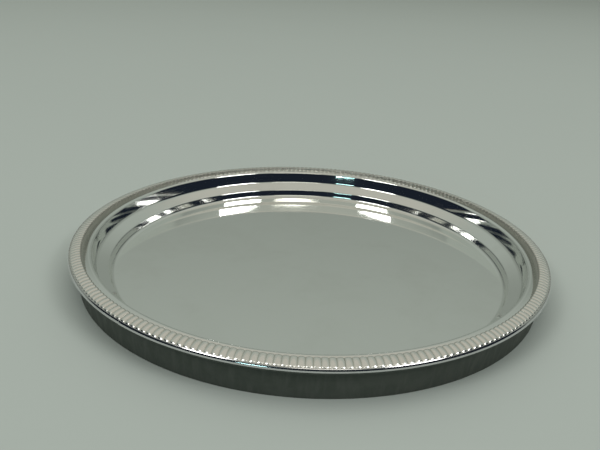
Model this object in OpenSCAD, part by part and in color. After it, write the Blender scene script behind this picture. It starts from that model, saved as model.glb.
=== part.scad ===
// Round silver salver: a spun dish with a double-stepped side and a smooth
// rounded shoulder, a reeded border struck in sections and backed with solder,
// an edge wire, and a dark side band with a wire round its foot to stand on.
// Millimetres, +Z up, origin on the table under the middle of the dish.

/* [Rim] */
// Diameter across the edge wire
rim_d = 305; // [240:1:380]
// Height of the rim's widest line above the table
rim_h = 18.4; // [17.5:0.1:30]
// Radius of the rounded outer face of the edge wire
lip_r = 2.4; // [2:0.1:4]
// How far the rim's widest line lies above the flange
lip_lift = 0.2; // [0:0.1:1]
// Width of the edge wire from its flat inner side
edge_wire_w = 0.9; // [0.7:0.1:1.4]
// How far the flange stops short of the rim's widest line
flange_inset = 0.5; // [0.2:0.1:0.6]

/* [Reeded border] */
// Number of sections that the border is struck in
section_count = 8; // [4:1:12]
// Reeds in one section
reeds_per_section = 32; // [12:1:40]
// Width of the border from its inner edge to its outer edge
border_w = 7.5; // [6:0.1:10]
// Height of the crest of the reeds above the flange
crest_h = 3.8; // [3:0.1:5]
// Height of the reeds' outer ends above the flange
brink_h = 2.1; // [1.7:0.1:2.6]
// Radius that rounds the inner ends of the reeds
crest_r = 1.2; // [1.1:0.1:1.6]
// Thickness of the struck sheet of the border
border_t = 0.9; // [0.8:0.05:1]
// Depth of the grooves between reeds
groove_depth = 0.55; // [0.3:0.05:0.6]
// Width of a groove across the reeds
groove_w = 1.6; // [0.8:0.1:2]
// Angle of the first joint between sections, from +X
first_joint = 7.5; // [0:0.5:45]

/* [Dish] */
// Thickness of the sheet that the dish is spun from
sheet_t = 1; // [0.8:0.1:1.4]
// Gap between the table and the underside of the dish
floor_gap = 0.4; // [0.2:0.1:1.5]
// Radius of the smooth shoulder inside the border
shoulder_r = 2; // [1.8:0.1:2.8]
// How far the flange lies above the middle of the shoulder's round
shoulder_drop = 0.4; // [0:0.1:1]
// How far the middle of the shoulder's round lies inside the border
shoulder_reach = 3.7; // [3.3:0.1:4.5]
// Slope of the two steps, from level
step_slope = 77; // [72:1:86]
// Height of the upper step, from the middle of the shoulder's round to the shelf
upper_step_h = 7.6; // [5:0.1:8.5]
// Radius of the hollow at the foot of the upper step
upper_hollow_r = 3.2; // [1.5:0.1:4]
// Width of the sloping shelf between the two steps
shelf_w = 5.7; // [3:0.1:8]
// Slope of the shelf, from level
shelf_slope = 27; // [10:1:30]
// Radius of the rounded edge where the shelf turns down
shelf_edge_r = 1.6; // [1.5:0.1:2.5]
// Radius of the hollow where the lower step meets the flat floor
floor_hollow_r = 2.4; // [1:0.1:3]

/* [Side band] */
// Thickness of the side band
band_t = 1; // [0.8:0.1:2]
// How far the band's foot stands inside the rim's widest line
band_inset = 5.6; // [4.5:0.1:8]
// How far the band leans out from its foot to its top
band_lean = 1.8; // [0:0.1:3]
// Diameter of the wire round the inside of the band's foot
foot_wire_d = 2; // [1.6:0.1:3]
// How far the foot wire is sunk in the solder against the band
foot_wire_flat = 0.2; // [0.1:0.05:0.4]

/* [Hidden] */
$fn = 96;

silver = [0.80, 0.80, 0.77];
bright = [0.88, 0.87, 0.83];
dull = [0.24, 0.25, 0.24];
solder = [0.42, 0.43, 0.45];

rim_r = rim_d / 2;
arc_steps = 8;
section_angle = 360 / section_count;

// The flange carries the border and the edge wire on its level top.
seat_h = rim_h - lip_lift;
flange_r = rim_r - flange_inset;

// The border fits between the edge wire's flat side and the foot of the shoulder.
border_out = rim_r - edge_wire_w;
border_in = border_out - border_w;
crest_pos = border_in + crest_r;
crest_drop = crest_h - brink_h;
reed_run = border_out - crest_pos;
reed_arc_r = (reed_run * reed_run + crest_drop * crest_drop) / (2 * crest_drop);
reed_arc_h = seat_h + crest_h - reed_arc_r;

// A groove is cut by a round bar laid along the reeds, partly sunk in their curve.
groove_cut_r = (groove_w * groove_w / 4 + groove_depth * groove_depth) / (2 * groove_depth);
groove_slope = asin(reed_run / 2 / reed_arc_r);

// The shoulder falls in a straight line from its round to the border's foot.
shoulder_pos = border_in - shoulder_reach;
shoulder_h = seat_h - shoulder_drop;
shoulder_to_border = norm([shoulder_reach, shoulder_drop]);
shoulder_end = atan2(shoulder_drop, shoulder_reach) + acos(shoulder_r / shoulder_to_border);

// The dish's side, worked out from the shoulder inwards and down to the floor.
floor_h = floor_gap + sheet_t;
shelf_outer_h = shoulder_h - upper_step_h;
upper_hollow_top_h = shelf_outer_h + upper_hollow_r * (cos(shelf_slope) - cos(step_slope));
upper_step_top_h = shoulder_h + shoulder_r * cos(step_slope);
upper_step_top = shoulder_pos - shoulder_r * sin(step_slope);
upper_step_foot = upper_step_top - (upper_step_top_h - upper_hollow_top_h) / tan(step_slope);
shelf_outer = upper_step_foot - upper_hollow_r * (sin(step_slope) - sin(shelf_slope));
shelf_inner = shelf_outer - shelf_w;
shelf_inner_h = shelf_outer_h - shelf_w * tan(shelf_slope);
lower_step_top = shelf_inner - shelf_edge_r * (sin(step_slope) - sin(shelf_slope));
lower_step_top_h = shelf_inner_h - shelf_edge_r * (cos(shelf_slope) - cos(step_slope));
floor_hollow_top_h = floor_h + floor_hollow_r * (1 - cos(step_slope));
lower_step_foot = lower_step_top - (lower_step_top_h - floor_hollow_top_h) / tan(step_slope);
floor_r = lower_step_foot - floor_hollow_r * sin(step_slope);

// The band's top meets the underside of the flange.
band_foot_r = rim_r - band_inset;
band_h = seat_h - sheet_t;
band_section = [
    [band_foot_r - band_t, 0],
    [band_foot_r, 0],
    [band_foot_r + band_lean, band_h],
    [band_foot_r + band_lean - band_t, band_h]
];
foot_wire_r = foot_wire_d / 2;
foot_wire_mid = band_foot_r - band_t - foot_wire_r + foot_wire_flat;

function reversed(points) = [for (i = [len(points) - 1 : -1 : 0]) points[i]];

// Points along an arc about [x, y], from angle a0 to angle a1.
function arc(x, y, r, a0, a1) = [
    for (i = [0 : arc_steps])
        let (a = a0 + (a1 - a0) * i / arc_steps)
        [x + r * cos(a), y + r * sin(a)]
];

// One face of the dish's sheet, d below its polished face, from the middle out.
function dish_face(d) = concat(
    [[0, floor_h - d]],
    arc(floor_r, floor_h + floor_hollow_r, floor_hollow_r + d, -90, step_slope - 90),
    arc(
        lower_step_top + shelf_edge_r * sin(step_slope),
        lower_step_top_h - shelf_edge_r * cos(step_slope),
        shelf_edge_r - d, 90 + step_slope, 90 + shelf_slope
    ),
    arc(
        shelf_outer - upper_hollow_r * sin(shelf_slope),
        shelf_outer_h + upper_hollow_r * cos(shelf_slope),
        upper_hollow_r + d, shelf_slope - 90, step_slope - 90
    ),
    arc(shoulder_pos, shoulder_h, shoulder_r - d, 90 + step_slope, shoulder_end),
    [[border_in - d * tan(45 - shoulder_end / 2), seat_h - d], [flange_r, seat_h - d]]
);

// The arch of the border, d inside its outer surface.
function border_arch(d) = concat(
    [[border_in + d, seat_h]],
    arc(crest_pos, seat_h + crest_h - crest_r, crest_r - d, 180, 90),
    arc(crest_pos, reed_arc_h, reed_arc_r - d, 90, acos((reed_run - d) / (reed_arc_r - d))),
    [[border_out - d, seat_h]]
);

// The dish is one sheet: floor, lower step, shelf, upper step, shoulder, flange.
module dish() {
    color(silver)
        rotate_extrude()
            polygon(concat(dish_face(0), reversed(dish_face(sheet_t))));
}

// The edge wire sits on the flange, flat below and flat against the border.
module edge_wire() {
    color(bright)
        rotate_extrude()
            polygon(concat(
                [[border_out, seat_h]],
                arc(
                    rim_r - lip_r, rim_h, lip_r,
                    -asin(lip_lift / lip_r), acos((lip_r - edge_wire_w) / lip_r)
                )
            ));
}

module side_band() {
    color(dull)
        rotate_extrude()
            polygon(band_section);
}

module foot_wire() {
    color(dull)
        rotate_extrude()
            difference() {
                translate([foot_wire_mid, foot_wire_r])
                    circle(foot_wire_r);
                polygon(band_section);
            }
}

// One bar that cuts the groove at a given angle round the border.
module groove_bar(angle) {
    rotate([0, 0, angle])
        translate([crest_pos, 0, reed_arc_h])
            rotate([0, groove_slope, 0])
                translate([0, 0, reed_arc_r - groove_depth + groove_cut_r])
                    rotate([0, 90, 0])
                        cylinder(r = groove_cut_r, h = border_w * 2, center = true);
}

// A section is a struck shell, hollow below, with a groove between reeds.
module border_section(i) {
    start = first_joint + (i - 1) * section_angle;
    color(bright)
        difference() {
            rotate([0, 0, start])
                rotate_extrude(angle = section_angle)
                    polygon(concat(border_arch(0), reversed(border_arch(border_t))));
            for (k = [0 : reeds_per_section])
                groove_bar(start + k * section_angle / reeds_per_section);
        }
}

// Solder run into the hollow back of a section.
module section_filling(i) {
    color(solder)
        rotate([0, 0, first_joint + (i - 1) * section_angle])
            rotate_extrude(angle = section_angle)
                polygon(border_arch(border_t));
}

dish();
edge_wire();
side_band();
foot_wire();
for (i = [1 : section_count])
    border_section(i);
for (i = [1 : section_count])
    section_filling(i);
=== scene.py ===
import math
import random
import bpy
from mathutils import Matrix, Vector


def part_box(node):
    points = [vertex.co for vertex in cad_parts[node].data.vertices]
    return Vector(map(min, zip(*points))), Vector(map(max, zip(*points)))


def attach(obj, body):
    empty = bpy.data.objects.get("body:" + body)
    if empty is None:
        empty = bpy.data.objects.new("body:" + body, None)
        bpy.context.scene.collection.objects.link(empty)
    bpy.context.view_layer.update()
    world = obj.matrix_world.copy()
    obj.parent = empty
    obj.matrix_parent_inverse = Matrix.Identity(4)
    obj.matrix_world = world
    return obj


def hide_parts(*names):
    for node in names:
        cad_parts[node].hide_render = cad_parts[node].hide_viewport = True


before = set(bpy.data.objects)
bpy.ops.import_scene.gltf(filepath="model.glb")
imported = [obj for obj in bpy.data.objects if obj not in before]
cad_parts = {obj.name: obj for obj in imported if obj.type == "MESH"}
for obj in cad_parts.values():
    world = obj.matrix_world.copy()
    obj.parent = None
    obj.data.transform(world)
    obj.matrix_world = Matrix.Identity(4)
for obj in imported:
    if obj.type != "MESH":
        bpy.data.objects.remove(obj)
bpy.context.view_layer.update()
print("frame loaded")

# places in the frame that every piece is worked out from, in metres
mm = 0.001
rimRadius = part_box("edge_wire")[1].x
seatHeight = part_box("edge_wire")[0].z
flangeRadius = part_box("dish")[1].x
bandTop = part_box("side_band")[1].z
sectionNodes = sorted(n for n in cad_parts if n.startswith("border_section_"))
fillingNodes = sorted(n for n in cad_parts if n.startswith("section_filling_"))

# how the border is divided, in degrees from +X
division = {
    "reedsPerSection": 32,
    "firstJoint": 7.5,
    "lappedJoint": 232.5,  # the joint that shows, left of the front
}
sectionTurn = 360 / len(sectionNodes)


def arcPoints(x, z, radius, start, end, steps):
    turns = [math.radians(start + (end - start) * i / steps) for i in range(steps + 1)]
    return [(x + radius * math.cos(t), z + radius * math.sin(t)) for t in turns]


def softCorner(before, corner, after, radius, steps=4):
    # a small curve in place of one corner of an outline
    p = Vector(corner) + (Vector(before) - Vector(corner)).normalized() * radius
    q = Vector(corner) + (Vector(after) - Vector(corner)).normalized() * radius
    shares = [i / steps for i in range(steps + 1)]
    return [tuple(p * (1 - t) ** 2 + Vector(corner) * 2 * t * (1 - t) + q * t * t) for t in shares]


def makePiece(name, verts, faces, materials, sharpAngle, faceSlots=None):
    mesh = bpy.data.meshes.new(name)
    mesh.from_pydata(verts, [], faces)
    mesh.shade_smooth()
    mesh.set_sharp_from_angle(angle=math.radians(sharpAngle))
    for material in materials:
        mesh.materials.append(material)
    if faceSlots:
        mesh.polygons.foreach_set("material_index", faceSlots)
    piece = bpy.data.objects.new(name, mesh)
    bpy.context.scene.collection.objects.link(piece)
    return piece


def evenTurns(count):
    return [2 * math.pi * i / count for i in range(count)]


def lathe(name, outline, turns, materials, sharpAngle=40, shift=None, slotOf=None):
    # the outline runs round the section, in metres; a point on the axis is one vertex
    verts, rings, faces, slots = [], [], [], []
    n = len(turns)
    for r, z in outline:
        if r < 1e-9:
            rings.append([len(verts)] * n)
            verts.append((0, 0, z))
            continue
        rings.append(range(len(verts), len(verts) + n))
        for t in turns:
            dr, dz = shift(r, z, t) if shift else (0, 0)
            verts.append(((r + dr) * math.cos(t), (r + dr) * math.sin(t), z + dz))
    onAxis = outline[0][0] < 1e-9
    for i in range(len(outline) - (1 if onAxis else 0)):
        a, b = rings[i], rings[(i + 1) % len(rings)]
        for j in range(n):
            k = (j + 1) % n
            quad = [a[j], b[j], b[k], a[k]]
            faces.append([v for m, v in enumerate(quad) if v != quad[m - 1]])
            slots.append(slotOf(i) if slotOf else 0)
    return makePiece(name, verts, faces, materials, sharpAngle, slots)


def newMaterial(name):
    material = bpy.data.materials.new(name)
    material.use_nodes = True
    tree = material.node_tree
    return material, tree, tree.nodes["Principled BSDF"]


def feed(tree, socket, value):
    if isinstance(value, bpy.types.NodeSocket):
        tree.links.new(value, socket)
    else:
        socket.default_value = value


def calc(tree, operation, *values):
    node = tree.nodes.new("ShaderNodeMath")
    node.operation = operation
    for socket, value in zip(node.inputs, values):
        feed(tree, socket, value)
    return node.outputs[0]


def remap(tree, value, fromLow, fromHigh, toLow=0.0, toHigh=1.0, smooth=True):
    node = tree.nodes.new("ShaderNodeMapRange")
    node.interpolation_type = "SMOOTHSTEP" if smooth else "LINEAR"
    for name, v in (("Value", value), ("From Min", fromLow), ("From Max", fromHigh),
                    ("To Min", toLow), ("To Max", toHigh)):
        feed(tree, node.inputs[name], v)
    return node.outputs["Result"]


def mixColor(tree, factor, a, b):
    node = tree.nodes.new("ShaderNodeMix")
    node.data_type = "RGBA"
    for name, v in (("Factor_Float", factor), ("A_Color", a), ("B_Color", b)):
        socket = next(s for s in node.inputs if s.identifier == name)
        feed(tree, socket, (*v, 1) if isinstance(v, tuple) else v)
    return next(s for s in node.outputs if s.identifier == "Result_Color")


def noise(tree, vector, scale, detail=3.0, roughness=0.5, distortion=0.0):
    node = tree.nodes.new("ShaderNodeTexNoise")
    feed(tree, node.inputs["Vector"], vector)
    for name, v in (("Scale", scale), ("Detail", detail), ("Roughness", roughness),
                    ("Distortion", distortion)):
        feed(tree, node.inputs[name], v)
    return node.outputs["Fac"]


def placeOf(tree):
    return tree.nodes.new("ShaderNodeTexCoord").outputs["Object"]


def polarOf(tree, place):
    # (radius, angle in radians, height)
    parts = tree.nodes.new("ShaderNodeSeparateXYZ")
    feed(tree, parts.inputs[0], place)
    x, y, z = parts.outputs
    squares = calc(tree, "ADD", calc(tree, "MULTIPLY", x, x), calc(tree, "MULTIPLY", y, y))
    return calc(tree, "SQRT", squares), calc(tree, "ARCTAN2", y, x), z


def combine(tree, x, y, z):
    node = tree.nodes.new("ShaderNodeCombineXYZ")
    for socket, value in zip(node.inputs, (x, y, z)):
        feed(tree, socket, value)
    return node.outputs[0]


def bump(tree, height, strength, distance, normal=None):
    node = tree.nodes.new("ShaderNodeBump")
    node.inputs["Strength"].default_value = strength
    node.inputs["Distance"].default_value = distance
    feed(tree, node.inputs["Height"], height)
    if normal:
        feed(tree, node.inputs["Normal"], normal)
    return node.outputs["Normal"]


def newGroup(name, inputs, outputs):
    group = bpy.data.node_groups.new(name, "ShaderNodeTree")
    for label, kind, value in inputs:
        socket = group.interface.new_socket(name=label, in_out="INPUT", socket_type=kind)
        socket.default_value = value
    for label, kind in outputs:
        group.interface.new_socket(name=label, in_out="OUTPUT", socket_type=kind)
    return group, group.nodes.new("NodeGroupInput"), group.nodes.new("NodeGroupOutput")


def useGroup(tree, group, **values):
    node = tree.nodes.new("ShaderNodeGroup")
    node.node_tree = group
    for label, value in values.items():
        feed(tree, node.inputs[label], value)
    return node.outputs


wiping = {
    "arcsPerMetre": 2600.0,
    "arcsRound": 5.0,
    "arcMarks": (0.60, 0.74),  # noise levels where a mark starts and is full
    "straightMarks": (0.69, 0.78),
    "directions": ((0.5, 3.0), (1.55, 7.0), (2.6, 11.0)),  # turn in radians, and a shift of the pattern
    "straightStretch": (24, 2100, 24),
}


def makeHairlines():
    # fine wiping marks: arcs round the middle, and short straight ones in three directions
    group, given, result = newGroup(
        "hairlines",
        [("Fineness", "NodeSocketFloat", 1.0), ("Amount", "NodeSocketFloat", 0.5)],
        [("Lines", "NodeSocketFloat")],
    )
    place = placeOf(group)
    radius, angle, height = polarOf(group, place)
    arcFineness = calc(group, "MULTIPLY", given.outputs["Fineness"], wiping["arcsPerMetre"])
    across = calc(group, "MULTIPLY", radius, arcFineness)
    along = calc(group, "MULTIPLY", angle, wiping["arcsRound"])
    arcs = noise(group, combine(group, across, along, height), 1.0, 2.0, 0.6)
    lines = remap(group, arcs, *wiping["arcMarks"])
    for turn, shiftAway in wiping["directions"]:
        turned = group.nodes.new("ShaderNodeMapping")
        turned.inputs["Rotation"].default_value = (0, 0, turn)
        turned.inputs["Location"].default_value = (shiftAway, shiftAway, 0)
        turned.inputs["Scale"].default_value = wiping["straightStretch"]
        feed(group, turned.inputs["Vector"], place)
        straight = noise(group, turned.outputs[0], given.outputs["Fineness"], 1.0, 0.5)
        lines = calc(group, "MAXIMUM", lines, remap(group, straight, *wiping["straightMarks"]))
    feed(group, result.inputs["Lines"], calc(group, "MULTIPLY", lines, given.outputs["Amount"]))
    return group


smudges = {
    "cloud": (0.42, 0.68),  # noise levels where a smudge starts and is full
    "grain": (0.30, 0.70, 0.6, 1.0),
    "specksPerMetre": 42.0,
    "speckChance": 0.10,
    "speckSize": (0.010, 0.028),  # smallest and largest, as a share of the space between specks
}


def makeBloom():
    # breath and finger smudges, with a few dark specks
    group, given, result = newGroup(
        "bloom",
        [("Size", "NodeSocketFloat", 0.03), ("Specks", "NodeSocketFloat", 0.5)],
        [("Cloud", "NodeSocketFloat"), ("Speck", "NodeSocketFloat")],
    )
    place = placeOf(group)
    scale = calc(group, "DIVIDE", 1.0, given.outputs["Size"])
    broad = noise(group, place, scale, 4.0, 0.55, 0.6)
    fine = noise(group, place, calc(group, "MULTIPLY", scale, 6.0), 3.0, 0.6)
    patches = remap(group, broad, *smudges["cloud"])
    grain = remap(group, fine, *smudges["grain"])
    feed(group, result.inputs["Cloud"], calc(group, "MULTIPLY", patches, grain))
    cells = group.nodes.new("ShaderNodeTexVoronoi")
    feed(group, cells.inputs["Vector"], place)
    cells.inputs["Scale"].default_value = smudges["specksPerMetre"]
    cells.inputs["Randomness"].default_value = 1.0
    parts = group.nodes.new("ShaderNodeSeparateColor")
    feed(group, parts.inputs[0], cells.outputs["Color"])
    chosen = calc(group, "GREATER_THAN", parts.outputs[0], 1 - smudges["speckChance"])
    reach = remap(group, parts.outputs[1], 0.0, 1.0, *smudges["speckSize"], False)
    near = calc(group, "LESS_THAN", cells.outputs["Distance"], reach)
    speck = calc(group, "MULTIPLY", calc(group, "MULTIPLY", chosen, near), given.outputs["Specks"])
    feed(group, result.inputs["Speck"], speck)
    return group


def makeReedGrooves():
    # 0 on the crown of a reed and 1 down in the groove beside it
    group, given, result = newGroup(
        "reedGrooves",
        [("Start", "NodeSocketFloat", 0.0), ("Pitch", "NodeSocketFloat", 1.0)],
        [("Groove", "NodeSocketFloat")],
    )
    radius, angle, height = polarOf(group, placeOf(group))
    pastStart = calc(group, "SUBTRACT", calc(group, "DEGREES", angle), given.outputs["Start"])
    reeds = calc(group, "DIVIDE", pastStart, given.outputs["Pitch"])
    part = calc(group, "FRACT", calc(group, "ADD", reeds, 1000.0))
    away = calc(group, "ABSOLUTE", calc(group, "SUBTRACT", calc(group, "MULTIPLY", part, 2.0), 1.0))
    feed(group, result.inputs["Groove"], away)
    return group


hairlines = makeHairlines()
bloom = makeBloom()
reedGrooves = makeReedGrooves()
print("shared effects made")


polish = {
    "color": (0.915, 0.925, 0.905),
    "smudged": (0.86, 0.865, 0.835),
    "smudgeShare": 0.5,
    "speck": (0.16, 0.15, 0.13),
    "roughness": (0.035, 0.085),
    "ripplesPerMetre": 26.0,
    "ripple": 0.00004,  # metres
    "scratch": 0.00001,
}


def makePolishedSilver():
    material, tree, shader = newMaterial("polishedSilver")
    smudge = useGroup(tree, bloom, Size=0.045, Specks=1.0)
    marks = useGroup(tree, hairlines, Fineness=1.0, Amount=1.0)["Lines"]
    share = calc(tree, "MULTIPLY", smudge["Cloud"], polish["smudgeShare"])
    color = mixColor(tree, share, polish["color"], polish["smudged"])
    color = mixColor(tree, smudge["Speck"], color, polish["speck"])
    feed(tree, shader.inputs["Base Color"], color)
    low, high = polish["roughness"]
    worn = calc(tree, "MAXIMUM", smudge["Cloud"], calc(tree, "MULTIPLY", marks, 0.8))
    feed(tree, shader.inputs["Roughness"], remap(tree, worn, 0.0, 1.0, low, high, False))
    shader.inputs["Metallic"].default_value = 1.0
    ripples = noise(tree, placeOf(tree), polish["ripplesPerMetre"], 1.0, 0.4)
    soft = bump(tree, ripples, 0.35, polish["ripple"])
    feed(tree, shader.inputs["Normal"], bump(tree, marks, 0.10, polish["scratch"], soft))
    return material


underside = {
    "color": (0.70, 0.69, 0.66),
    "tarnished": (0.56, 0.52, 0.45),
    "speck": (0.15, 0.13, 0.11),
    "ringsPerMetre": 700.0,
    "ringDepth": 0.00004,  # metres
    "roughness": (0.22, 0.40),
}


def makeUndersideSilver():
    # the back of the dish keeps the rings of the spinning and a warm bloom
    material, tree, shader = newMaterial("undersideSilver")
    radius, angle, height = polarOf(tree, placeOf(tree))
    across = calc(tree, "MULTIPLY", radius, underside["ringsPerMetre"])
    rings = noise(tree, combine(tree, across, 0.0, 0.0), 1.0, 2.0, 0.7)
    smudge = useGroup(tree, bloom, Size=0.06, Specks=1.0)
    color = mixColor(tree, smudge["Cloud"], underside["color"], underside["tarnished"])
    color = mixColor(tree, smudge["Speck"], color, underside["speck"])
    feed(tree, shader.inputs["Base Color"], color)
    feed(tree, shader.inputs["Roughness"], remap(tree, rings, 0.3, 0.7, *underside["roughness"], False))
    shader.inputs["Metallic"].default_value = 1.0
    feed(tree, shader.inputs["Normal"], bump(tree, rings, 0.5, underside["ringDepth"]))
    return material


reedFinish = {
    "crown": (0.96, 0.95, 0.92),
    "groove": (0.74, 0.72, 0.66),
    "sheltered": (0.50, 0.49, 0.45),  # the inner ends, where polishing doesn't reach
    "shelter": (7.0 * mm, 7.7 * mm),  # where it starts and is full, in from the rim's widest line
    "dirtStart": (0.60, 0.76),  # how far down the groove's side the dirt begins
    "roughness": (0.20, 0.38),
}
wireFinish = {
    "crown": (0.72, 0.71, 0.72),
    "groove": (0.34, 0.32, 0.30),
    "roughness": (0.09, 0.24),
}


def makeBorderSilver(reeded):
    material, tree, shader = newMaterial("borderSilver" if reeded else "wireSilver")
    tones = reedFinish if reeded else wireFinish
    smudge = useGroup(tree, bloom, Size=0.02, Specks=0.6)
    marks = useGroup(tree, hairlines, Fineness=1.6, Amount=0.7)["Lines"]
    dirt = calc(tree, "MULTIPLY", smudge["Cloud"], 0.25)
    if reeded:
        pitch = sectionTurn / division["reedsPerSection"]
        groove = useGroup(tree, reedGrooves, Start=division["firstJoint"], Pitch=pitch)["Groove"]
        patch = noise(tree, placeOf(tree), 60.0, 3.0, 0.6)
        low = remap(tree, patch, 0.3, 0.7, *tones["dirtStart"], False)
        dirt = calc(tree, "MAXIMUM", dirt, remap(tree, groove, low, 1.0))
    color = mixColor(tree, dirt, tones["crown"], tones["groove"])
    if reeded:
        radius, angle, height = polarOf(tree, placeOf(tree))
        inward = calc(tree, "SUBTRACT", rimRadius, radius)
        sheltered = remap(tree, inward, *tones["shelter"])
        color = mixColor(tree, sheltered, color, tones["sheltered"])
        dirt = calc(tree, "MAXIMUM", dirt, sheltered)
    feed(tree, shader.inputs["Base Color"], color)
    worn = calc(tree, "MAXIMUM", dirt, calc(tree, "MULTIPLY", marks, 0.5))
    low, high = tones["roughness"]
    feed(tree, shader.inputs["Roughness"], remap(tree, worn, 0.0, 1.0, low, high, False))
    shader.inputs["Metallic"].default_value = 1.0
    grain = noise(tree, placeOf(tree), 2200.0, 2.0, 0.5)
    height = calc(tree, "ADD", calc(tree, "MULTIPLY", grain, 0.4), calc(tree, "MULTIPLY", marks, 0.6))
    feed(tree, shader.inputs["Normal"], bump(tree, height, 0.25, 0.00001))
    return material


bandFinish = {
    "color": (0.072, 0.082, 0.070),
    "pale": (0.110, 0.118, 0.104),
    "worn": (0.16, 0.16, 0.145),
    "streaks": (40.0, 60.0),  # per radian round the band, and per metre of its height
    "wearHeight": (0.9 * mm, 0.1 * mm),  # the foot is worn below this
    "grain": 0.00003,  # metres
    "roughness": (0.50, 0.72),
}


def makeDullBand():
    material, tree, shader = newMaterial("dullBand")
    place = placeOf(tree)
    radius, angle, height = polarOf(tree, place)
    around = calc(tree, "MULTIPLY", angle, bandFinish["streaks"][0])
    rise = calc(tree, "MULTIPLY", height, bandFinish["streaks"][1])
    streaks = noise(tree, combine(tree, around, 0.0, rise), 1.0, 3.0, 0.6)
    smudge = useGroup(tree, bloom, Size=0.025, Specks=0.3)
    pale = calc(tree, "MULTIPLY", remap(tree, streaks, 0.35, 0.75), 0.6)
    pale = calc(tree, "MAXIMUM", pale, calc(tree, "MULTIPLY", smudge["Cloud"], 0.5))
    color = mixColor(tree, pale, bandFinish["color"], bandFinish["pale"])
    chips = noise(tree, place, 900.0, 3.0, 0.6)
    nearFoot = remap(tree, height, *bandFinish["wearHeight"])
    edge = calc(tree, "MULTIPLY", nearFoot, remap(tree, chips, 0.45, 0.62))
    color = mixColor(tree, edge, color, bandFinish["worn"])
    feed(tree, shader.inputs["Base Color"], color)
    low, high = bandFinish["roughness"]
    feed(tree, shader.inputs["Roughness"], remap(tree, pale, 0.0, 1.0, high, low, False))
    feed(tree, shader.inputs["Metallic"], calc(tree, "MULTIPLY", edge, 0.8))
    shader.inputs["Specular IOR Level"].default_value = 0.3
    grain = noise(tree, place, 1500.0, 3.0, 0.6)
    feed(tree, shader.inputs["Normal"], bump(tree, grain, 0.35, bandFinish["grain"]))
    return material


solderFinish = {
    "color": (0.36, 0.37, 0.38),
    "dulled": (0.22, 0.22, 0.22),
    "roughness": (0.38, 0.62),
    "pitDepth": 0.00008,  # metres
}


def makeSolder():
    material, tree, shader = newMaterial("solder")
    smudge = useGroup(tree, bloom, Size=0.012, Specks=0.5)
    color = mixColor(tree, smudge["Cloud"], solderFinish["color"], solderFinish["dulled"])
    feed(tree, shader.inputs["Base Color"], color)
    low, high = solderFinish["roughness"]
    feed(tree, shader.inputs["Roughness"], remap(tree, smudge["Cloud"], 0.0, 1.0, low, high, False))
    shader.inputs["Metallic"].default_value = 0.9
    pits = noise(tree, placeOf(tree), 700.0, 4.0, 0.6)
    feed(tree, shader.inputs["Normal"], bump(tree, pits, 0.5, solderFinish["pitDepth"]))
    return material


polishedSilver = makePolishedSilver()
undersideSilver = makeUndersideSilver()
borderSilver = makeBorderSilver(True)
wireSilver = makeBorderSilver(False)
dullBand = makeDullBand()
solder = makeSolder()
print("finishes made")


dishShape = {  # millimetres and degrees
    "sheet": 1.0,
    "floorHeight": 1.4,
    "shoulderRadius": 2.0,
    "shoulderDrop": 0.4,
    "shoulderReach": 3.7,
    "stepSlope": 77,
    "upperStepHeight": 7.6,
    "upperHollow": 3.2,
    "shelfWidth": 5.7,
    "shelfSlope": 27,
    "shelfEdge": 1.6,
    "floorHollow": 2.4,
    "floorRings": (0, 4, 15, 35, 60, 85, 105, 118, 124),  # radii of the rings on the flat floor
    "turns": 720,
}
borderShape = {  # millimetres
    "wireWidth": 0.9,
    "width": 7.5,
    "crestHeight": 3.8,
    "brinkHeight": 2.1,
    "crestRound": 1.2,
    "shell": 0.88,
    "grooveDepth": 0.50,
    "noseDepth": 0.42,
    "heelDepth": 0.15,
    "noseLength": 1.25,
    "heelFade": 2.4,
    "roundness": 0.9,
    "jointGap": 0.04,
}
borderOut = rimRadius / mm - borderShape["wireWidth"]
borderIn = borderOut - borderShape["width"]
seat = seatHeight / mm


def sin(a):
    return math.sin(math.radians(a))


def cos(a):
    return math.cos(math.radians(a))


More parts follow.
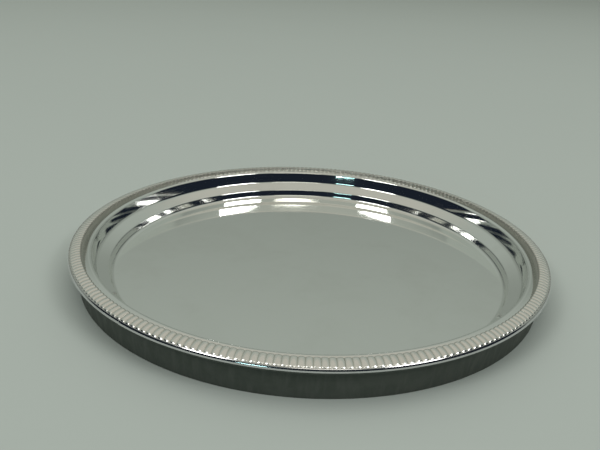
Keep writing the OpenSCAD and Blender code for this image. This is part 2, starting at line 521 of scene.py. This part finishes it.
def dishFace(depth, steps):
    # one face of the sheet, from the middle out, depth below the polished face
    s = dishShape
    shoulder = s["shoulderRadius"]
    shoulderX, shoulderZ = borderIn - s["shoulderReach"], seat - s["shoulderDrop"]
    stepSlope, shelfSlope = s["stepSlope"], s["shelfSlope"]
    fall = math.tan(math.radians(stepSlope))
    shelfZ = shoulderZ - s["upperStepHeight"]
    hollow = s["upperHollow"]
    hollowTopZ = shelfZ + hollow * (cos(shelfSlope) - cos(stepSlope))
    stepTopX = shoulderX - shoulder * sin(stepSlope)
    stepTopZ = shoulderZ + shoulder * cos(stepSlope)
    stepFootX = stepTopX - (stepTopZ - hollowTopZ) / fall
    shelfX = stepFootX - hollow * (sin(stepSlope) - sin(shelfSlope))
    innerX, innerZ = shelfX - s["shelfWidth"], shelfZ - s["shelfWidth"] * math.tan(math.radians(shelfSlope))
    edge = s["shelfEdge"]
    lowTopX = innerX - edge * (sin(stepSlope) - sin(shelfSlope))
    lowTopZ = innerZ - edge * (cos(shelfSlope) - cos(stepSlope))
    floorHollow = s["floorHollow"]
    lowFootX = lowTopX - (lowTopZ - s["floorHeight"] - floorHollow * (1 - cos(stepSlope))) / fall
    floorX = lowFootX - floorHollow * sin(stepSlope)
    shoulderEnd = math.degrees(math.atan2(s["shoulderDrop"], s["shoulderReach"])
                               + math.acos(shoulder / math.hypot(s["shoulderReach"], s["shoulderDrop"])))
    z = s["floorHeight"] - depth
    points = [(r, z) for r in (*s["floorRings"], floorX - 0.4)]
    points += arcPoints(floorX, s["floorHeight"] + floorHollow,
                        floorHollow + depth, -90, stepSlope - 90, steps)
    points += arcPoints(lowTopX + edge * sin(stepSlope), lowTopZ - edge * cos(stepSlope),
                        edge - depth, 90 + stepSlope, 90 + shelfSlope, steps)
    points += arcPoints(shelfX - hollow * sin(shelfSlope), shelfZ + hollow * cos(shelfSlope),
                        hollow + depth, shelfSlope - 90, stepSlope - 90, steps)
    points += arcPoints(shoulderX, shoulderZ, shoulder - depth, 90 + stepSlope, shoulderEnd, steps)
    foot = borderIn - depth * math.tan(math.radians(45 - shoulderEnd / 2))
    points += [(foot, seat - depth), (flangeRadius / mm, seat - depth)]
    return points


def makeDish():
    top = dishFace(0, 20)
    under = dishFace(dishShape["sheet"], 12)
    outline = [(r * mm, z * mm) for r, z in top + under[::-1]]
    edge = len(top) - 1

    def slotOf(i):
        # painted shade: the sheet's edge and the flange's underside take the dark band's finish, standing in
        # for the dark under the lip, where polished silver would reflect the lit floor
        if i < edge:
            return 0
        return 2 if i < edge + 2 else 1

    return lathe("dish", outline, evenTurns(dishShape["turns"]),
                 [polishedSilver, undersideSilver, dullBand], slotOf=slotOf)


dish = makeDish()
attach(dish, "root")
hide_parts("dish")
print("dish made")


def archStations():
    # (place along the reed, r, z, outward normal) up the inner wall, over the crest, down to the brink
    s = borderShape
    crestX = borderIn + s["crestRound"]
    run = borderOut - crestX
    drop = s["crestHeight"] - s["brinkHeight"]
    sweepRadius = (run * run + drop * drop) / (2 * drop)
    crestZ = seat + s["crestHeight"]
    endAngle = math.degrees(math.acos(run / sweepRadius))
    wall = s["crestHeight"] - s["crestRound"]
    heel = wall + s["crestRound"] * math.pi / 2
    total = heel + sweepRadius * math.radians(90 - endAngle)
    nose = total - 2.4
    places = [0.05 + (heel - 0.05) * i / 22 for i in range(22)]
    places += [heel + (nose - heel) * i / 12 for i in range(12)]
    places += [nose + (total - nose) * i / 16 for i in range(17)]
    stations = []
    for p in places:
        if p < wall:
            a = 180
            r, z = borderIn, seat + p
        elif p < heel:
            a = 180 - 90 * (p - wall) / (heel - wall)
            r, z = crestX + s["crestRound"] * cos(a), crestZ - s["crestRound"] + s["crestRound"] * sin(a)
        else:
            a = 90 - math.degrees((p - heel) / sweepRadius)
            r, z = crestX + sweepRadius * cos(a), crestZ - sweepRadius + sweepRadius * sin(a)
        stations.append((p, r, z, cos(a), sin(a)))
    return stations, total


def eased(share):
    share = min(1, max(0, share))
    return share * share * (3 - 2 * share)


def reedSink(place, across, total):
    # how far the surface lies below the arch: 0 on a reed's crown, deepest in the groove
    s = borderShape
    noseStart = total - s["noseLength"] - 0.05
    past = max(0, (place - noseStart) / s["noseLength"])
    crown = max(0, 1 - across * across - past * past) ** s["roundness"]
    depth = s["grooveDepth"]
    depth += (s["noseDepth"] - depth) * eased((place - noseStart + 1.0) / (s["noseLength"] + 1.0))
    depth += (s["heelDepth"] - depth) * eased((s["heelFade"] - place) / s["heelFade"])
    return depth * (1 - crown), depth


def undersideArch():
    s = borderShape
    d = s["shell"]
    crestX = borderIn + s["crestRound"]
    run = borderOut - crestX
    drop = s["crestHeight"] - s["brinkHeight"]
    sweepRadius = (run * run + drop * drop) / (2 * drop)
    crestZ = seat + s["crestHeight"]
    end = math.degrees(math.acos((run - d) / (sweepRadius - d)))
    points = [(borderOut - d, seat)]
    points += arcPoints(crestX, crestZ - sweepRadius, sweepRadius - d, end, 90, 8)
    points += arcPoints(crestX, crestZ - s["crestRound"], s["crestRound"] - d, 90, 180, 3)[1:]
    return points + [(borderIn + d, seat)]


def makeBorderSection(index):
    luck = random.Random(300 + index)
    stations, total = archStations()
    under = undersideArch()
    start = math.radians(division["firstJoint"] + index * sectionTurn)
    gap = borderShape["jointGap"] / borderOut
    turn = math.radians(sectionTurn) - 2 * gap
    reeds = division["reedsPerSection"]
    half = 6
    shares = [math.sin(math.pi / 2 * (k / half)) for k in range(-half, half + 1)]
    settle = luck.uniform(-0.02, 0.0)  # sections don't all seat quite alike
    columns = []
    for n in range(reeds):
        lift = luck.uniform(0.0, 0.035)
        lean = luck.uniform(-0.03, 0.03)
        for k, v in enumerate(shares[1 if n else 0:]):
            angle = start + gap + turn * (n + (v + 1) / 2) / reeds
            loop = [(borderIn, seat)]
            for p, r, z, nr, nz in stations:
                sink, depth = reedSink(p, v, total)
                lowered = sink + (lift + lean * v) * (1 - sink / depth) - settle
                loop.append((r - nr * lowered, z - nz * lowered))
            brink = loop[-1]
            loop.append((borderOut, brink[1] - 0.12))
            loop.append((borderOut, seat))
            columns.append((angle, loop + under))
    size = len(columns[0][1])
    verts = [(r * mm * math.cos(a), r * mm * math.sin(a), z * mm) for a, loop in columns for r, z in loop]
    faces = []
    for c in range(len(columns) - 1):
        a, b = c * size, (c + 1) * size
        faces += [(a + i, a + (i + 1) % size, b + (i + 1) % size, b + i) for i in range(size)]
    faces.append(tuple(reversed(range(size))))
    last = (len(columns) - 1) * size
    faces.append(tuple(range(last, last + size)))
    return makePiece(f"borderSection{index + 1}", verts, faces, [borderSilver], 55)


for index, node in enumerate(sectionNodes):
    section = makeBorderSection(index)
    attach(section, "root")
    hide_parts(node)
for node in fillingNodes:
    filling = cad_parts[node]
    for slot in filling.material_slots:
        slot.material = solder
print("border made,", len(sectionNodes), "sections")


wireShape = {  # millimetres
    "radius": 2.4,
    "lift": 0.2,
    "proud": 0.16,  # one end of the wire stands out a little at the lapped joint
    "nick": 0.30,
    "nickWidth": 0.08,  # degrees
    "nickTurns": (-0.16, -0.09, -0.04, 0.04, 0.09, 0.16),
    "easing": 7,  # degrees over which the end comes back into line
}


def makeEdgeWire():
    s = wireShape
    r = s["radius"]
    x, z = rimRadius / mm - r, seat + s["lift"]
    low = -math.degrees(math.asin(s["lift"] / r))
    high = math.degrees(math.acos((r - borderShape["wireWidth"]) / r))
    arc = arcPoints(x, z, r, low, high, 30)
    inner = (borderOut, seat)
    outline = softCorner(inner, arc[0], arc[2], 0.12) + arc[2:-2]
    outline += softCorner(arc[-3], arc[-1], inner, 0.14) + [inner]
    joint = math.radians(division["lappedJoint"])
    turns = sorted(evenTurns(720) + [joint + math.radians(d) for d in s["nickTurns"]])

    def lap(radius, height, turn):
        if radius < (borderOut + 0.01) * mm:
            return 0, 0
        off = math.degrees(turn - joint)
        share = (radius / mm - borderOut) / borderShape["wireWidth"]
        proud = -s["proud"] * math.exp(-abs(off) / s["easing"]) if off < 0.05 else 0
        cut = -s["nick"] * math.exp(-(off / s["nickWidth"]) ** 2)
        return (proud + cut) * share * mm, 0

    return lathe("edgeWire", [(a * mm, b * mm) for a, b in outline], turns, [wireSilver], 50, lap)


edgeWire = makeEdgeWire()
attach(edgeWire, "root")
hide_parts("edge_wire")
print("edge wire made")


bandShape = {  # millimetres
    "thickness": 1.0,
    "inset": 5.6,
    "lean": 1.8,
    "footWire": 2.0,
    "footWireFlat": 0.2,
    "seam": 97.0,  # degrees from +X, at the back
    "seamDepth": 0.10,
    "seamWidth": 0.09,  # degrees
    "seamTurns": (-0.2, -0.1, 0.1, 0.2),
    "fillet": 0.8,  # solder run along the band's head
}


def makeSideBand():
    s = bandShape
    top = bandTop / mm
    foot = rimRadius / mm - s["inset"]
    head = foot + s["lean"]
    t = s["thickness"]
    rise = [i / 8 for i in range(9)]
    outside = [(foot + s["lean"] * k, top * k) for k in rise]
    outline = softCorner((foot - t, 0), (foot, 0), outside[1], 0.22) + outside[1:-1]
    fillet = s["fillet"]
    outline += arcPoints(head + fillet + 0.02, top - fillet, fillet, 180, 90, 6)
    outline += [(head - t, top)]
    outline += softCorner((head - t, top), (foot - t, 0), (foot, 0), 0.15)
    seam = math.radians(s["seam"])
    turns = sorted(evenTurns(480) + [seam + math.radians(d) for d in s["seamTurns"]])

    def groove(radius, height, turn):
        outer = radius / mm > foot - 0.3 + s["lean"] * height / bandTop
        if not outer or height >= bandTop - 1 * mm:
            return 0, 0
        off = math.degrees(turn - seam)
        return -s["seamDepth"] * mm * math.exp(-(off / s["seamWidth"]) ** 2), 0

    return lathe("sideBand", [(a * mm, b * mm) for a, b in outline], turns, [dullBand], 50, groove)


def makeFootWire():
    s = bandShape
    r = s["footWire"] / 2
    foot = rimRadius / mm - s["inset"]
    mid = foot - s["thickness"] - r + s["footWireFlat"]
    # the round wire, flattened where it lies against the band
    ring = arcPoints(mid, r, r, 0, 360, 40)[:-1]
    lean = s["lean"] / (bandTop / mm)
    ring = [(min(x, foot - s["thickness"] + lean * z), z) for x, z in ring]
    return lathe("footWire", [(a * mm, b * mm) for a, b in ring], evenTurns(480), [dullBand])


sideBand = makeSideBand()
footWire = makeFootWire()
for piece, node in ((sideBand, "side_band"), (footWire, "foot_wire")):
    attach(piece, "root")
    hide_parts(node)
print("side band and foot wire made")


room = {
    "floor": (0.545, 0.600, 0.570),
    "wallLow": (0.245, 0.272, 0.240),
    "wallHigh": (0.345, 0.380, 0.340),
    "ceiling": (0.46, 0.455, 0.40),
    "dark": (0.010, 0.014, 0.022),
    "seen": (0.42, 0.46, 0.435),
    "wallRise": (14.0, 36.0),  # degrees up where each tone starts and is full
    "ceilingRise": (38.0, 62.0),
    "darkSides": (108.0, 102.0),  # degrees aside of the front
    "darkTop": (49.0, 26.0),
    "floorSize": 9.0,  # metres out from the middle
    "floorCells": 6,
}


def makeFloor():
    size, cells = room["floorSize"], room["floorCells"]
    step = 2 * size / cells
    verts = [(-size + i * step, -size + j * step, 0) for j in range(cells + 1) for i in range(cells + 1)]
    row = cells + 1
    faces = [(j * row + i, j * row + i + 1, (j + 1) * row + i + 1, (j + 1) * row + i)
             for j in range(cells) for i in range(cells)]
    material, tree, shader = newMaterial("paleFloor")
    cloud = noise(tree, placeOf(tree), 3.0, 3.0, 0.5)
    base = room["floor"]
    feed(tree, shader.inputs["Base Color"], mixColor(tree, cloud, tuple(c * 0.98 for c in base), base))
    shader.inputs["Roughness"].default_value = 0.85
    shader.inputs["Specular IOR Level"].default_value = 0.2
    return makePiece("floor", verts, faces, [material], 60)


def makeWorld():
    world = bpy.data.worlds.new("room")
    bpy.context.scene.world = world
    world.use_nodes = True
    tree = world.node_tree
    background = tree.nodes["Background"]
    parts = tree.nodes.new("ShaderNodeSeparateXYZ")
    feed(tree, parts.inputs[0], tree.nodes.new("ShaderNodeTexCoord").outputs["Generated"])
    x, y, z = parts.outputs
    up = calc(tree, "DEGREES", calc(tree, "ARCSINE", z))
    turn = calc(tree, "ARCTAN2", x, calc(tree, "MULTIPLY", y, -1.0))
    aside = calc(tree, "ABSOLUTE", calc(tree, "DEGREES", turn))
    wall = mixColor(tree, remap(tree, up, *room["wallRise"]), room["wallLow"], room["wallHigh"])
    pale = mixColor(tree, remap(tree, up, *room["ceilingRise"]), wall, room["ceiling"])
    inFront = remap(tree, aside, *room["darkSides"])
    lowDown = remap(tree, up, *room["darkTop"])
    shade = mixColor(tree, calc(tree, "MULTIPLY", inFront, lowDown), pale, room["dark"])
    rays = tree.nodes.new("ShaderNodeLightPath")
    feed(tree, background.inputs["Color"], mixColor(tree, rays.outputs["Is Camera Ray"], shade, room["seen"]))


def addSoftbox(name, aside, up, wide, high, brightness, color, away=5.0):
    # aside and up are degrees from the middle of the front; wide and high are its angular size
    light = bpy.data.lights.new(name, "AREA")
    light.shape = "RECTANGLE"
    light.size = 2 * away * math.tan(math.radians(wide / 2))
    light.size_y = 2 * away * math.tan(math.radians(high / 2))
    light.energy = brightness * math.pi * light.size * light.size_y
    light.color = color
    box = bpy.data.objects.new(name, light)
    bpy.context.scene.collection.objects.link(box)
    toLight = Vector((sin(aside) * cos(up), -cos(aside) * cos(up), sin(up)))
    box.location = toLight * away
    box.rotation_mode = "QUATERNION"
    box.rotation_quaternion = toLight.to_track_quat("Z", "Y")
    return box


lamps = {  # degrees aside of the front and up, angular width and height, brightness, colour
    "lampLeft": (-48, 43, 17, 11, 6.5, (1.0, 1.0, 0.98)),
    "lampRight": (56, 43, 20, 11, 6.5, (1.0, 1.0, 0.98)),
    "creamLamp": (12, 47, 24, 4.5, 2.0, (1.0, 0.96, 0.86)),
    "smallLamp": (-20, 13, 11, 4, 9, (0.60, 1.0, 1.0)),
    "fillLamp": (0, 84, 60, 60, 0.62, (1.0, 1.0, 0.98)),
}


def addLamps():
    for name, values in lamps.items():
        lamp = addSoftbox(name, *values)
        # the fill brightens the floor from above and leaves no streak in the silver
        lamp.visible_glossy = name != "fillLamp"


outlook = {  # metres and degrees
    "place": (0, -0.400, 0.1909),
    "pitch": -22.23,
    "yaw": -1.0,
    "roll": 2.9,
    "lens": 39.3,  # millimetres, on a sensor 36 wide
}


def makeCamera():
    pitch, yaw, roll = outlook["pitch"], outlook["yaw"], outlook["roll"]
    data = bpy.data.cameras.new("camera")
    data.lens = outlook["lens"]
    data.sensor_width = 36
    data.clip_start = 0.01
    camera = bpy.data.objects.new("camera", data)
    bpy.context.scene.collection.objects.link(camera)
    ahead = Vector((sin(yaw) * cos(pitch), cos(yaw) * cos(pitch), sin(pitch)))
    right = ahead.cross(Vector((0, 0, 1))).normalized()
    up = right.cross(ahead)
    rightRolled = right * cos(roll) + up * sin(roll)
    upRolled = up * cos(roll) - right * sin(roll)
    turned = Matrix((rightRolled, upRolled, -ahead)).transposed().to_4x4()
    camera.matrix_world = Matrix.Translation(outlook["place"]) @ turned
    bpy.context.scene.camera = camera


makeFloor()
makeWorld()
addLamps()
makeCamera()
bpy.context.scene.view_settings.view_transform = "Standard"
bpy.context.scene.cycles.caustics_reflective = False
print("floor, light and camera made")
